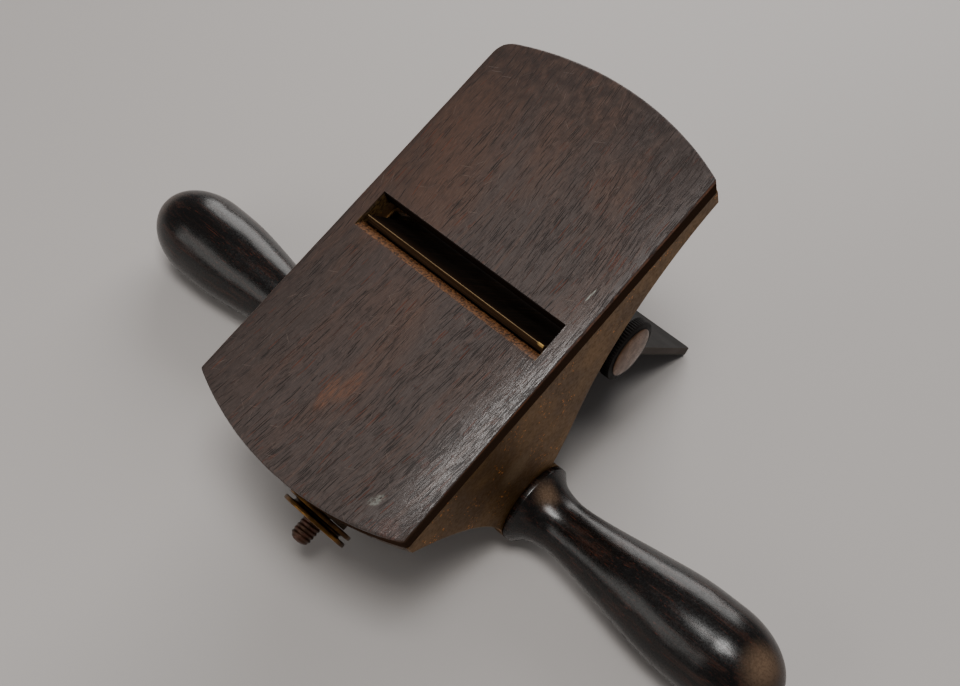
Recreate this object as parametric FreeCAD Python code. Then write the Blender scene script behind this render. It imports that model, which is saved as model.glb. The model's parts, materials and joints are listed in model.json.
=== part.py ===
import FreeCAD, Part
import math
import os

# A two-handled scraper-type spokeshave: a wooden sole under a brass casting, a leaning blade in a
# carrier that tilts on a pivot rod, a threaded adjusting rod with a thumb nut on each side of a post,
# a flatted clamp bar turned by a side knob, and two turned handles on a cross rod.
#
# Tool frame, in mm: the sole's face is the plane z = 0 and the tool's body hangs below it. +X runs
# across the tool, +Y along the sole towards the end that the blade leans to, +Z out of the sole.
# At the end every piece is laid down the way the tool rests upside down on a table: on both handle
# bulbs and on the blade's top edge.

V = FreeCAD.Vector
X_AXIS = V(1, 0, 0)

# Sole and casting
SOLE_WIDTH = 76.2
SOLE_LENGTH = 124.6          # along the straight sides
END_BOW = 8.3                # how far each curved end of the sole stands out at mid width
CASTING_BOW = 7.7            # the same for the casting, which is set back under the sole
SOLE_THICK = 6.5
BASE_THICK = 4.5
CHEEK_THICK = 3.2
WORN_CORNER = 4.0            # the one corner that is worn round
SHARP_CORNER = 0.8
SOLE_ARRIS = 0.5
CHEEK_ROUND = 0.5            # softened edges of the side walls
CHEEK_FRONT = [(62.3, 13.2), (54.0, 13.6), (37.0, 16.8), (18.7, 24.1), (4.1, 33.9), (-6.8, 45.0)]
CHEEK_BACK = [(-41.0, 52.0), (-44.5, 40.3), (-49.7, 29.8), (-57.7, 17.5), (-62.3, 11.6)]
HALF_WIDTH = SOLE_WIDTH / 2
HALF_LENGTH = SOLE_LENGTH / 2
CHEEK_INNER = HALF_WIDTH - CHEEK_THICK
BASE_TOP = -SOLE_THICK
BASE_BOTTOM = -SOLE_THICK - BASE_THICK

# Blade, in its own frame: s runs up the blade from the edge, n out of its front face
LEAN = 26.0                  # degrees from square to the sole
EDGE_Y = -1.2
EDGE_DEPTH = 0.03            # the edge sits this far below the sole's face
BLADE_WIDTH = 64.0
BLADE_LENGTH = 117.0
BLADE_THICK = 2.6
BLADE_TOP_ROUND = 1.5
BLADE_BEVEL = 45.0           # degrees between the bevel and the front face

# Mouth
MOUTH_HALF = 33.0
MOUTH_BACK = -5.0            # outer edge of the worn bevel behind the blade
MOUTH_FRONT = 6.8
MOUTH_WALL = -3.1            # square wall behind the blade
MOUTH_BEVEL_DEPTH = 2.1
MOUTH_LIP = 0.45             # a thin lip round the lower edge of the mouth's ends
MOUTH_LIP_THICK = 0.6

# Handles and their cross rod
HANDLE_Y = -27.5
HANDLE_Z = -61.5
FLANGE_R = 13.0
BULB_R = 14.5
BULB_X = 105.2               # where the bulb is thickest
HANDLE_END = 126.2
HANDLE_WAIST = [(40.1, FLANGE_R), (43.0, 10.3), (47.0, 8.9), (52.0, 8.4), (61.0, 9.3), (75.0, 11.6),
                (87.0, 13.5), (95.0, 14.3), (BULB_X, BULB_R)]
CROSS_ROD_R = 4.0
CROSS_ROD_END = 72.0
SPACER_R = 7.5
INSERT_R = 6.0
INSERT_END = 66.0
BOSS_FRONT_ANGLE = 35.9      # where the wall's front and back curves meet the handle's boss
BOSS_BACK_ANGLE = 168.0
ROD_CHAMFER = 0.6

# Carrier and its pivot
PIVOT_Y = -9.5
PIVOT_Z = -11.5
PIVOT_R = 2.4
PIVOT_END = 29.0
LUG_R = 4.2
LUG_SUNK = 4.0               # how far a lug's foot runs into the base plate
LUG_INNER = 21.4
LUG_OUTER = 28.0
KNUCKLE_R = 4.0
KNUCKLE_HALF = 21.0
POCKET_GAP = 1.2             # room round the knuckle in the base plate
WEB_BACK = -7.2
WEB_FRONT = -2.7
WEB_LOW = 12.0
WEB_HIGH = 60.0
CARRIER_HALF = 34.5
EAR_INNER = 32.3
EAR_LOW = 17.0               # the ears guide the blade's edges from here up
EAR_FRONT = 1.4
EAR_SLOPE = 6.0              # length of the rise from the guide to the clamp boss
NECK_ROOT = 6.0              # how far the neck runs up behind the web
NECK_FRONT = 2.5
NECK_DROP = 2.8
NECK_RISE = 3.5
NECK_BACK = 1.9
RUN_FIT = 0.05

# Clamp bar, knob and collar
CLAMP_S = 44.5
CLAMP_N = 2.6
CLAMP_R = 2.4
CLAMP_FLAT = 1.6             # from the bar's axis to its flat
JOURNAL_R = 2.2
KNOB_R = 9.8
KNOB_INNER = 35.0
KNOB_RIM_END = 38.3
KNOB_RIM_BEVEL = 0.3
KNOB_FACE_R = 8.0            # the raised face inside the knurled rim
KNOB_OUTER = 39.3
KNOB_FACE_BEVEL = 0.5
KNURL_COUNT = 48
KNURL_R = 0.28
BORE_FLOOR = 1.0             # metal left between the bar's end and the knob's face
COLLAR_R = 4.4
COLLAR_INNER = 34.8
COLLAR_OUTER = 38.6
COLLAR_SCREW_R = 0.9
COLLAR_SCREW_SEAT = 0.6      # the screw's tip, out from the bar's axis
COLLAR_SCREW_SUNK = 0.3
COLLAR_SLOT = 0.4
COLLAR_SLOT_DEEP = 0.6
BAR_END_PLAY = 0.4
COLLAR_MIDDLE = -(COLLAR_INNER + COLLAR_OUTER) / 2

# Adjusting rod, post and thumb nuts
ROD_Z = -39.0
ROD_R = 3.175
ROD_END = -80.5
ROD_TIP_ROUND = 1.4
ROD_SEAT = 2.0               # the rod stops this far inside its socket's inner end
ROD_PIN_N = -14.0
ROD_PIN_R = 2.0
EYE_R = 4.4
EYE_HALF = 3.1
CLEVIS_INNER = 3.4
CLEVIS_OUTER = 7.6
CLEVIS_ROOT = 10.0           # half the width of a clevis lug where it leaves the web
PIN_HEAD_OUT = 0.4
SOCKET_R = 5.2
SOCKET_NEAR = -4.0
SOCKET_FAR = -16.0
ROD_INNER = SOCKET_NEAR - ROD_SEAT
TONGUE_SUNK = 1.0
POST_FAR = -69.6
POST_NEAR = -64.1
POST_HALF = 8.0
POST_HOLE_R = 3.5
POST_SUNK = 1.0
NUT_R = 11.0
NUT_GAP = 0.2
NUT_RIM = 1.4
NUT_GROOVE = 1.1
NUT_HUB_R = 8.2
NUT_BORE_R = 3.6
NUT_WIDTH = 2 * NUT_RIM + NUT_GROOVE

# Sole screws
SCREW_SPOTS = [(x, y) for y in (-50.0, -24.0, 24.0, 50.0) for x in (-26.0, 26.0)]
SCREW_HEAD_R = 3.4
SCREW_R = 1.7
SCREW_TIP = -2.2
SCREW_SLOT = 0.8
SCREW_POINT = 1.5
SCREW_POINT_R = 0.4

CUT_OVER = 1.0               # how far a cutting tool runs past what it cuts
TINY = 0.01                  # two lengths closer than this are the same
SIN = math.sin(math.radians(LEAN))
COS = math.cos(math.radians(LEAN))


def from_blade(s, n):
    """(y, z) in the tool frame of a point given in the blade's frame."""
    return EDGE_Y + s * SIN + n * COS, -EDGE_DEPTH - s * COS + n * SIN


def to_blade(y, z):
    """(s, n) in the blade's frame of a point given in the tool frame."""
    dy = y - EDGE_Y
    dz = z + EDGE_DEPTH
    return dy * SIN - dz * COS, dy * COS + dz * SIN


PIVOT_S, PIVOT_N = to_blade(PIVOT_Y, PIVOT_Z)
ROD_PIN_S = (-ROD_Z - EDGE_DEPTH + ROD_PIN_N * SIN) / COS
ROD_PIN_Y = from_blade(ROD_PIN_S, ROD_PIN_N)[0]


def slab(points, x_low, x_high):
    """A plate with a straight-sided outline of (second, third) coordinates."""
    wire = Part.makePolygon([V(x_low, a, b) for a, b in points + points[:1]])
    return Part.Face(wire).extrude(V(x_high - x_low, 0, 0))


def pin_x(radius, x_low, x_high, a, b):
    return Part.makeCylinder(radius, x_high - x_low, V(x_low, a, b), X_AXIS)


def pin_y(radius, y_low, y_high, z):
    return Part.makeCylinder(radius, y_high - y_low, V(0, y_low, z), V(0, 1, 0))


def stand_on_blade(shape):
    """Move a piece drawn in the blade's frame (x, s, n) to the tool frame."""
    shape.rotate(V(0, 0, 0), X_AXIS, LEAN - 90.0)
    shape.translate(V(0, EDGE_Y, -EDGE_DEPTH))
    return shape


def merged(shapes):
    return shapes[0].multiFuse(shapes[1:]).removeSplitter()


def sole_blank(z_low, z_high, bow):
    """The sole's outline, straight sides and bowed ends, as a plate with rounded corners."""
    corners = [V(sx * HALF_WIDTH, sy * HALF_LENGTH, z_low) for sx, sy in ((1, -1), (1, 1), (-1, 1), (-1, -1))]
    far = HALF_LENGTH + bow
    edges = [
        Part.LineSegment(corners[0], corners[1]).toShape(),
        Part.Arc(corners[1], V(0, far, z_low), corners[2]).toShape(),
        Part.LineSegment(corners[2], corners[3]).toShape(),
        Part.Arc(corners[3], V(0, -far, z_low), corners[0]).toShape(),
    ]
    plate = Part.Face(Part.Wire(edges)).extrude(V(0, 0, z_high - z_low))
    corner_edges = [edge for edge in plate.Edges if is_square_corner(edge, z_low, z_high)]
    worn = [edge for edge in corner_edges if edge.CenterOfMass.x < 0 < edge.CenterOfMass.y]
    plate = plate.makeFillet(WORN_CORNER, worn)
    sharp = [edge for edge in plate.Edges if is_square_corner(edge, z_low, z_high)]
    return plate.makeFillet(SHARP_CORNER, sharp)


def is_square_corner(edge, z_low, z_high):
    middle = edge.CenterOfMass
    upright = abs(middle.z - (z_low + z_high) / 2) < TINY
    at_corner = abs(abs(middle.x) - HALF_WIDTH) < TINY and abs(abs(middle.y) - HALF_LENGTH) < TINY
    return upright and at_corner


def mouth_cut(half, below, front_below):
    """The blade's channel down to a depth: square at the back, with its front wall's foot at front_below."""
    points = [
        (MOUTH_BACK, CUT_OVER), (MOUTH_BACK, 0.0), (MOUTH_WALL, -MOUTH_BEVEL_DEPTH),
        (MOUTH_WALL, below), (front_below, below), (MOUTH_FRONT, 0.0), (MOUTH_FRONT, CUT_OVER),
    ]
    return slab(points, -half, half)


def leaning_mouth_cut(half, below):
    """The channel in the casting, with its front wall parallel to the blade."""
    return mouth_cut(half, below, MOUTH_FRONT - below * SIN / COS)


def screw_shape(x, y, with_slot):
    """A countersunk wood screw driven from the casting's inner face towards the sole."""
    head_depth = SCREW_HEAD_R - SCREW_R
    head = Part.makeCone(SCREW_HEAD_R, SCREW_R, head_depth, V(x, y, BASE_BOTTOM), V(0, 0, 1))
    shank_low = BASE_BOTTOM + head_depth
    point_low = SCREW_TIP - SCREW_POINT
    shank = Part.makeCylinder(SCREW_R, point_low - shank_low, V(x, y, shank_low), V(0, 0, 1))
    point = Part.makeCone(SCREW_R, SCREW_POINT_R, SCREW_POINT, V(x, y, point_low), V(0, 0, 1))
    screw = merged([head, shank, point])
    if with_slot:
        slot = Part.makeBox(2 * SCREW_HEAD_R, SCREW_SLOT, SCREW_SLOT,
                            V(x - SCREW_HEAD_R, y - SCREW_SLOT / 2, BASE_BOTTOM))
        screw = screw.cut(slot)
    return screw


def screw_holes():
    return [screw_shape(x, y, False) for x, y in SCREW_SPOTS]


def sole_plate():
    plate = sole_blank(BASE_TOP, 0.0, END_BOW)
    rim = [edge for edge in plate.Edges if abs(edge.BoundBox.ZMin) < TINY]
    plate = plate.makeFillet(SOLE_ARRIS, rim)
    return plate.cut([mouth_cut(MOUTH_HALF, BASE_BOTTOM, MOUTH_FRONT)] + screw_holes())


def on_boss(x, degrees):
    """A point on the handle's boss, from the +Y side round towards the underside."""
    angle = math.radians(degrees)
    return V(x, HANDLE_Y + FLANGE_R * math.cos(angle), HANDLE_Z + FLANGE_R * math.sin(angle))


def cheek(x_low):
    """One side wall: low at both ends, rising with hollow curves to the handle's boss."""
    front = [V(x_low, y, -height) for y, height in CHEEK_FRONT]
    back = [V(x_low, y, -height) for y, height in CHEEK_BACK]
    boss_front = on_boss(x_low, BOSS_FRONT_ANGLE)
    boss_back = on_boss(x_low, BOSS_BACK_ANGLE)
    boss_under = on_boss(x_low, -90.0)
    front_curve = Part.BSplineCurve()
    front_curve.interpolate(front + [boss_front])
    back_curve = Part.BSplineCurve()
    back_curve.interpolate([boss_back] + back)
    top_front = V(x_low, HALF_LENGTH, BASE_TOP)
    top_back = V(x_low, -HALF_LENGTH, BASE_TOP)
    edges = [
        Part.LineSegment(top_front, front[0]).toShape(),
        front_curve.toShape(),
        Part.Arc(boss_front, boss_under, boss_back).toShape(),
        back_curve.toShape(),
        Part.LineSegment(back[-1], top_back).toShape(),
        Part.LineSegment(top_back, top_front).toShape(),
    ]
    wall = Part.Face(Part.Wire(edges)).extrude(V(CHEEK_THICK, 0, 0))
    return wall.makeFillet(CHEEK_ROUND, [edge for edge in wall.Edges if is_hollow_edge(edge)])


def is_hollow_edge(edge):
    """True for a side wall's long curved edges, on both of its faces."""
    return isinstance(edge.Curve, Part.BSplineCurve)


def pivot_lug(x_low, x_high):
    """A lug on the base plate that holds one end of the pivot rod."""
    barrel = pin_x(LUG_R, x_low, x_high, PIVOT_Y, PIVOT_Z)
    foot = Part.makeBox(x_high - x_low, 2 * LUG_R, BASE_BOTTOM + LUG_SUNK - PIVOT_Z,
                        V(x_low, PIVOT_Y - LUG_R, PIVOT_Z))
    return merged([barrel, foot])


def post():
    """The upright that the adjusting rod runs through."""
    height = BASE_BOTTOM - ROD_Z + POST_SUNK
    stem = Part.makeBox(2 * POST_HALF, POST_NEAR - POST_FAR, height, V(-POST_HALF, POST_FAR, ROD_Z))
    head = pin_y(POST_HALF, POST_FAR, POST_NEAR, ROD_Z)
    return merged([stem, head])


def body_casting():
    base = sole_blank(BASE_BOTTOM, BASE_TOP, CASTING_BOW)
    lugs = [pivot_lug(LUG_INNER, LUG_OUTER), pivot_lug(-LUG_OUTER, -LUG_INNER)]
    body = merged([base, cheek(CHEEK_INNER), cheek(-HALF_WIDTH), post()] + lugs)
    pocket_back = PIVOT_Y - KNUCKLE_R - POCKET_GAP
    pocket = Part.makeBox(2 * LUG_INNER, MOUTH_WALL - pocket_back + CUT_OVER, BASE_THICK + CUT_OVER,
                          V(-LUG_INNER, pocket_back, BASE_BOTTOM - CUT_OVER))
    cuts = [
        leaning_mouth_cut(MOUTH_HALF, BASE_BOTTOM + MOUTH_LIP_THICK),
        leaning_mouth_cut(MOUTH_HALF - MOUTH_LIP, BASE_BOTTOM - CUT_OVER),
        pocket,
        pin_x(PIVOT_R, -PIVOT_END, PIVOT_END, PIVOT_Y, PIVOT_Z),
        pin_x(CROSS_ROD_R, -HALF_WIDTH - CUT_OVER, HALF_WIDTH + CUT_OVER, HANDLE_Y, HANDLE_Z),
        pin_y(POST_HOLE_R, POST_FAR - CUT_OVER, POST_NEAR + CUT_OVER, ROD_Z),
    ]
    return body.cut(cuts + screw_holes())


def sole_screws():
    return Part.makeCompound([screw_shape(x, y, True) for x, y in SCREW_SPOTS])


def handle(side):
    """A turned handle: a flange on the cheek, a waisted neck and a long bulb with a round end."""
    points = [V(x, radius, 0) for x, radius in HANDLE_WAIST]
    curve = Part.BSplineCurve()
    curve.interpolate(points)
    end = Part.Ellipse(V(BULB_X, 0, 0), HANDLE_END - BULB_X, BULB_R)
    inner = V(HALF_WIDTH, 0, 0)
    rim = V(HALF_WIDTH, FLANGE_R, 0)
    edges = [
        Part.LineSegment(inner, rim).toShape(),
        Part.LineSegment(rim, points[0]).toShape(),
        curve.toShape(),
        Part.ArcOfEllipse(end, 0.0, math.pi / 2).toShape(),
        Part.LineSegment(V(HANDLE_END, 0, 0), inner).toShape(),
    ]
    solid = Part.Face(Part.Wire(Part.sortEdges(edges)[0])).revolve(V(0, 0, 0), X_AXIS, 360)
    solid = solid.cut([pin_x(INSERT_R, HALF_WIDTH - CUT_OVER, INSERT_END, 0, 0),
                       pin_x(CROSS_ROD_R, HALF_WIDTH - CUT_OVER, CROSS_ROD_END, 0, 0)])
    if side < 0:
        solid.rotate(V(0, 0, 0), V(0, 0, 1), 180)
    solid.translate(V(0, HANDLE_Y, HANDLE_Z))
    return solid


def handle_insert(side):
    low = min(side * HALF_WIDTH, side * INSERT_END)
    length = INSERT_END - HALF_WIDTH
    sleeve = pin_x(INSERT_R, low, low + length, HANDLE_Y, HANDLE_Z)
    return sleeve.cut(pin_x(CROSS_ROD_R, low - CUT_OVER, low + length + CUT_OVER, HANDLE_Y, HANDLE_Z))


def handle_rod():
    rod = pin_x(CROSS_ROD_R, -CROSS_ROD_END, CROSS_ROD_END, HANDLE_Y, HANDLE_Z)
    ends = [edge for edge in rod.Edges if abs(abs(edge.CenterOfMass.x) - CROSS_ROD_END) < TINY]
    return rod.makeChamfer(ROD_CHAMFER, ends)


def handle_spacer():
    tube = pin_x(SPACER_R, -CHEEK_INNER, CHEEK_INNER, HANDLE_Y, HANDLE_Z)
    bore = pin_x(CROSS_ROD_R, -CHEEK_INNER - CUT_OVER, CHEEK_INNER + CUT_OVER, HANDLE_Y, HANDLE_Z)
    return tube.cut(bore)


def pivot_rod():
    return pin_x(PIVOT_R, -PIVOT_END, PIVOT_END, PIVOT_Y, PIVOT_Z)


def ear(x_low, x_high):
    """A side ear of the carrier: it guides the blade's edge and holds the clamp bar."""
    rise = CLAMP_S - COLLAR_R
    points = [(EAR_LOW, WEB_BACK), (EAR_LOW, EAR_FRONT), (rise - EAR_SLOPE, EAR_FRONT), (rise, CLAMP_N),
              (CLAMP_S + COLLAR_R, CLAMP_N), (WEB_HIGH, EAR_FRONT), (WEB_HIGH, WEB_BACK)]
    return merged([slab(points, x_low, x_high), pin_x(COLLAR_R, x_low, x_high, CLAMP_S, CLAMP_N)])


def clevis_lug(x_low, x_high):
    """One of the two lugs on the carrier's back that hold the rod's pin."""
    root_n = (WEB_BACK + WEB_FRONT) / 2
    points = [(ROD_PIN_S - EYE_R, ROD_PIN_N), (ROD_PIN_S - CLEVIS_ROOT, root_n),
              (ROD_PIN_S + CLEVIS_ROOT, root_n), (ROD_PIN_S + EYE_R, ROD_PIN_N)]
    return merged([slab(points, x_low, x_high), pin_x(EYE_R, x_low, x_high, ROD_PIN_S, ROD_PIN_N)])


def blade_carrier():
    web = Part.makeBox(2 * CARRIER_HALF, WEB_HIGH - WEB_LOW, WEB_FRONT - WEB_BACK,
                       V(-CARRIER_HALF, WEB_LOW, WEB_BACK))
    neck_n = (WEB_BACK + WEB_FRONT) / 2
    neck = slab([(PIVOT_S - NECK_DROP, PIVOT_N + NECK_FRONT), (PIVOT_S + NECK_RISE, neck_n),
                 (WEB_LOW + NECK_ROOT, neck_n), (PIVOT_S + NECK_RISE, PIVOT_N - NECK_BACK)],
                -KNUCKLE_HALF, KNUCKLE_HALF)
    knuckle = pin_x(KNUCKLE_R, -KNUCKLE_HALF, KNUCKLE_HALF, PIVOT_S, PIVOT_N)
    ears = [ear(EAR_INNER, CARRIER_HALF), ear(-CARRIER_HALF, -EAR_INNER)]
    lugs = [clevis_lug(CLEVIS_INNER, CLEVIS_OUTER), clevis_lug(-CLEVIS_OUTER, -CLEVIS_INNER)]
    body = merged([web, neck, knuckle] + ears + lugs)
    cuts = [
        pin_x(PIVOT_R + RUN_FIT, -KNUCKLE_HALF - CUT_OVER, KNUCKLE_HALF + CUT_OVER, PIVOT_S, PIVOT_N),
        pin_x(JOURNAL_R + RUN_FIT, -CARRIER_HALF - CUT_OVER, CARRIER_HALF + CUT_OVER, CLAMP_S, CLAMP_N),
        pin_x(ROD_PIN_R, -CLEVIS_OUTER - CUT_OVER, CLEVIS_OUTER + CUT_OVER, ROD_PIN_S, ROD_PIN_N),
    ]
    return stand_on_blade(body.cut(cuts))


def blade():
    bevel_length = BLADE_THICK / math.tan(math.radians(BLADE_BEVEL))
    points = [(0.0, 0.0), (BLADE_LENGTH, 0.0), (BLADE_LENGTH, -BLADE_THICK), (bevel_length, -BLADE_THICK)]
    plate = slab(points, -BLADE_WIDTH / 2, BLADE_WIDTH / 2)
    top_corners = [edge for edge in plate.Edges
                   if abs(edge.CenterOfMass.y - BLADE_LENGTH) < TINY
                   and abs(edge.CenterOfMass.z + BLADE_THICK / 2) < TINY]
    return stand_on_blade(plate.makeFillet(BLADE_TOP_ROUND, top_corners))


def clamp_bar():
    """The bar that presses the blade onto the carrier; turned to its flat, it lets the blade go."""
    bar_half = EAR_INNER - BAR_END_PLAY
    middle = pin_x(CLAMP_R, -bar_half, bar_half, CLAMP_S, CLAMP_N)
    flat = Part.makeBox(2 * EAR_INNER, 2 * CLAMP_R, CLAMP_R,
                        V(-EAR_INNER, CLAMP_S - CLAMP_R, CLAMP_N + CLAMP_FLAT))
    journal = pin_x(JOURNAL_R, -COLLAR_OUTER, KNOB_OUTER - BORE_FLOOR, CLAMP_S, CLAMP_N)
    dimple = collar_screw_hole(JOURNAL_R + CUT_OVER)
    return stand_on_blade(merged([middle.cut(flat), journal]).cut(dimple))


def collar_screw_hole(high):
    """A pin square to the blade, from the collar screw's seat up to a height over the bar's axis."""
    return Part.makeCylinder(COLLAR_SCREW_R, high - COLLAR_SCREW_SEAT,
                             V(COLLAR_MIDDLE, CLAMP_S, CLAMP_N + COLLAR_SCREW_SEAT), V(0, 0, 1))


def clamp_knob():
    """Disc knob: a straight-knurled rim and a smaller raised face with a bevel."""
    rim = pin_x(KNOB_R, KNOB_INNER, KNOB_RIM_END, CLAMP_S, CLAMP_N)
    rim = rim.makeChamfer(KNOB_RIM_BEVEL, [edge for edge in rim.Edges if len(edge.Vertexes) == 1])
    face = pin_x(KNOB_FACE_R, KNOB_RIM_END - KNOB_FACE_BEVEL, KNOB_OUTER, CLAMP_S, CLAMP_N)
    face = face.makeChamfer(KNOB_FACE_BEVEL, [edge for edge in face.Edges
                                              if abs(edge.CenterOfMass.x - KNOB_OUTER) < TINY])
    cuts = [pin_x(JOURNAL_R, KNOB_INNER - CUT_OVER, KNOB_OUTER - BORE_FLOOR, CLAMP_S, CLAMP_N)]
    for index in range(KNURL_COUNT):
        angle = 2 * math.pi * index / KNURL_COUNT
        s = CLAMP_S + KNOB_R * math.cos(angle)
        n = CLAMP_N + KNOB_R * math.sin(angle)
        cuts.append(pin_x(KNURL_R, KNOB_INNER - CUT_OVER, KNOB_OUTER + CUT_OVER, s, n))
    return stand_on_blade(merged([rim, face]).cut(cuts))


def bar_collar():
    """Plain ring that keeps the clamp bar in the ears at the end away from the knob."""
    ring = pin_x(COLLAR_R, -COLLAR_OUTER, -COLLAR_INNER, CLAMP_S, CLAMP_N)
    bore = pin_x(JOURNAL_R, -COLLAR_OUTER - CUT_OVER, -COLLAR_INNER + CUT_OVER, CLAMP_S, CLAMP_N)
    return stand_on_blade(ring.cut([bore, collar_screw_hole(COLLAR_R + CUT_OVER)]))


def collar_screw():
    top = COLLAR_R - COLLAR_SCREW_SUNK
    slot = Part.makeBox(2 * COLLAR_SCREW_R, COLLAR_SLOT, COLLAR_SLOT_DEEP,
                        V(COLLAR_MIDDLE - COLLAR_SCREW_R, CLAMP_S - COLLAR_SLOT / 2,
                          CLAMP_N + top - COLLAR_SLOT_DEEP))
    return stand_on_blade(collar_screw_hole(top).cut(slot))


def rod_pin():
    reach = CLEVIS_OUTER + PIN_HEAD_OUT
    return stand_on_blade(pin_x(ROD_PIN_R, -reach, reach, ROD_PIN_S, ROD_PIN_N))


def rod_eye():
    """The eye block at the inner end of the adjusting rod, with a socket for the rod's thread."""
    tongue = Part.makeBox(2 * EYE_HALF, ROD_PIN_Y - SOCKET_NEAR + TONGUE_SUNK, 2 * EYE_R,
                          V(-EYE_HALF, SOCKET_NEAR - TONGUE_SUNK, ROD_Z - EYE_R))
    head = pin_x(EYE_R, -EYE_HALF, EYE_HALF, ROD_PIN_Y, ROD_Z)
    socket = pin_y(SOCKET_R, SOCKET_FAR, SOCKET_NEAR, ROD_Z)
    cuts = [pin_x(ROD_PIN_R + RUN_FIT, -EYE_HALF - CUT_OVER, EYE_HALF + CUT_OVER, ROD_PIN_Y, ROD_Z),
            pin_y(ROD_R, SOCKET_FAR - CUT_OVER, ROD_INNER, ROD_Z)]
    return merged([tongue, head, socket]).cut(cuts)


def adjusting_rod():
    rod = pin_y(ROD_R, ROD_END, ROD_INNER, ROD_Z)
    tip = [edge for edge in rod.Edges if abs(edge.CenterOfMass.y - ROD_END) < TINY]
    return rod.makeFillet(ROD_TIP_ROUND, tip)


def thumb_nut(y_low):
    """Round thumb nut with two thin rims and a groove between them."""
    rims = [pin_y(NUT_R, y, y + NUT_RIM, ROD_Z) for y in (y_low, y_low + NUT_RIM + NUT_GROOVE)]
    hub = pin_y(NUT_HUB_R, y_low, y_low + NUT_WIDTH, ROD_Z)
    return merged(rims + [hub]).cut(pin_y(NUT_BORE_R, y_low - CUT_OVER, y_low + NUT_WIDTH + CUT_OVER, ROD_Z))


def outer_nut():
    return thumb_nut(POST_FAR - NUT_GAP - NUT_WIDTH)


def inner_nut():
    return thumb_nut(POST_NEAR + NUT_GAP)


def rest_tilt():
    """How far the tool leans, in degrees, when it lies on its handle bulbs and the blade's top edge."""
    top_y, top_z = from_blade(BLADE_LENGTH, -BLADE_THICK)
    across = top_y - HANDLE_Y
    down = HANDLE_Z - top_z
    return math.degrees(math.atan2(down, across) - math.asin(BULB_R / math.hypot(across, down)))


def lay_down(shapes):
    """Tip every piece to the resting lean, and put the origin under the middle of the whole."""
    tilt = rest_tilt()
    for shape in shapes:
        shape.rotate(V(0, 0, 0), X_AXIS, tilt)
    box = Part.makeCompound(shapes).BoundBox
    bulb_z = HANDLE_Y * math.sin(math.radians(tilt)) + HANDLE_Z * math.cos(math.radians(tilt))
    shift = V(0, -(box.YMin + box.YMax) / 2, BULB_R - bulb_z)
    for shape in shapes:
        shape.translate(shift)
    print("rest tilt", round(tilt, 4), "shift y", round(shift.y, 4), "shift z", round(shift.z, 4))


PIECES = {
    "sole_plate": sole_plate(),
    "body_casting": body_casting(),
    "sole_screws": sole_screws(),
    "pivot_rod": pivot_rod(),
    "handle_right": handle(1),
    "handle_left": handle(-1),
    "handle_insert_right": handle_insert(1),
    "handle_insert_left": handle_insert(-1),
    "handle_rod": handle_rod(),
    "handle_spacer": handle_spacer(),
    "blade_carrier": blade_carrier(),
    "blade": blade(),
    "clamp_bar": clamp_bar(),
    "clamp_knob": clamp_knob(),
    "bar_collar": bar_collar(),
    "collar_screw": collar_screw(),
    "rod_pin": rod_pin(),
    "rod_eye": rod_eye(),
    "adjusting_rod": adjusting_rod(),
    "outer_nut": outer_nut(),
    "inner_nut": inner_nut(),
}

lay_down(list(PIECES.values()))
os.makedirs("parts", exist_ok=True)
for name, shape in PIECES.items():
    assert shape.isValid(), name
    shape.exportStep("parts/" + name + ".step")
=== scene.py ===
import json
import math

import bmesh
import bpy
from mathutils import Matrix, Quaternion, Vector, noise


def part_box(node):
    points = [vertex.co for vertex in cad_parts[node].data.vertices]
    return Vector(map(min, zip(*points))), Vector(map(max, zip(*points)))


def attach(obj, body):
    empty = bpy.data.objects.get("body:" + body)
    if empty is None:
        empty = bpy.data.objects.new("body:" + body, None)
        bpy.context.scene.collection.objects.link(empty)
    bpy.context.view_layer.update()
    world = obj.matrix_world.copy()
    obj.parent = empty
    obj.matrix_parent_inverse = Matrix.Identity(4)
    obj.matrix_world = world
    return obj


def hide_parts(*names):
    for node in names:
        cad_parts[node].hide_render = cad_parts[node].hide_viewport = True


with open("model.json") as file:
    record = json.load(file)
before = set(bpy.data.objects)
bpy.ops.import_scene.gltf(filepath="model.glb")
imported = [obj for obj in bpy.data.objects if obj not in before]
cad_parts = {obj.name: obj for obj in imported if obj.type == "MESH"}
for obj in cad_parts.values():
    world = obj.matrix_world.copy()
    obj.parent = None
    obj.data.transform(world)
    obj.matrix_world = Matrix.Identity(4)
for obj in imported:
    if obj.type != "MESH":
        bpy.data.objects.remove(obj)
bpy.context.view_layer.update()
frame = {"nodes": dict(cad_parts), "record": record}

# The looks of a two-handled scraper shave that lies sole up. Pieces are drawn in millimetres in the
# tool frame: the sole's face is z = 0, +X runs across the tool and +Y along the sole.

MM = 0.001
SOLE_MOUNT_Y = 35.0
MOUNT = frame["record"]["mounts"][0]
UP = Vector(MOUNT["axis"])
ACROSS = Vector((1, 0, 0))
ALONG = UP.cross(ACROSS)
TOOL_ORIGIN = Vector(MOUNT["pos_m"]) - ALONG * SOLE_MOUNT_Y * MM
TOOL = Matrix.Translation(TOOL_ORIGIN) @ Matrix((ACROSS, ALONG, UP)).transposed().to_4x4()
TILT = math.atan2(-UP.y, UP.z)

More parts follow.
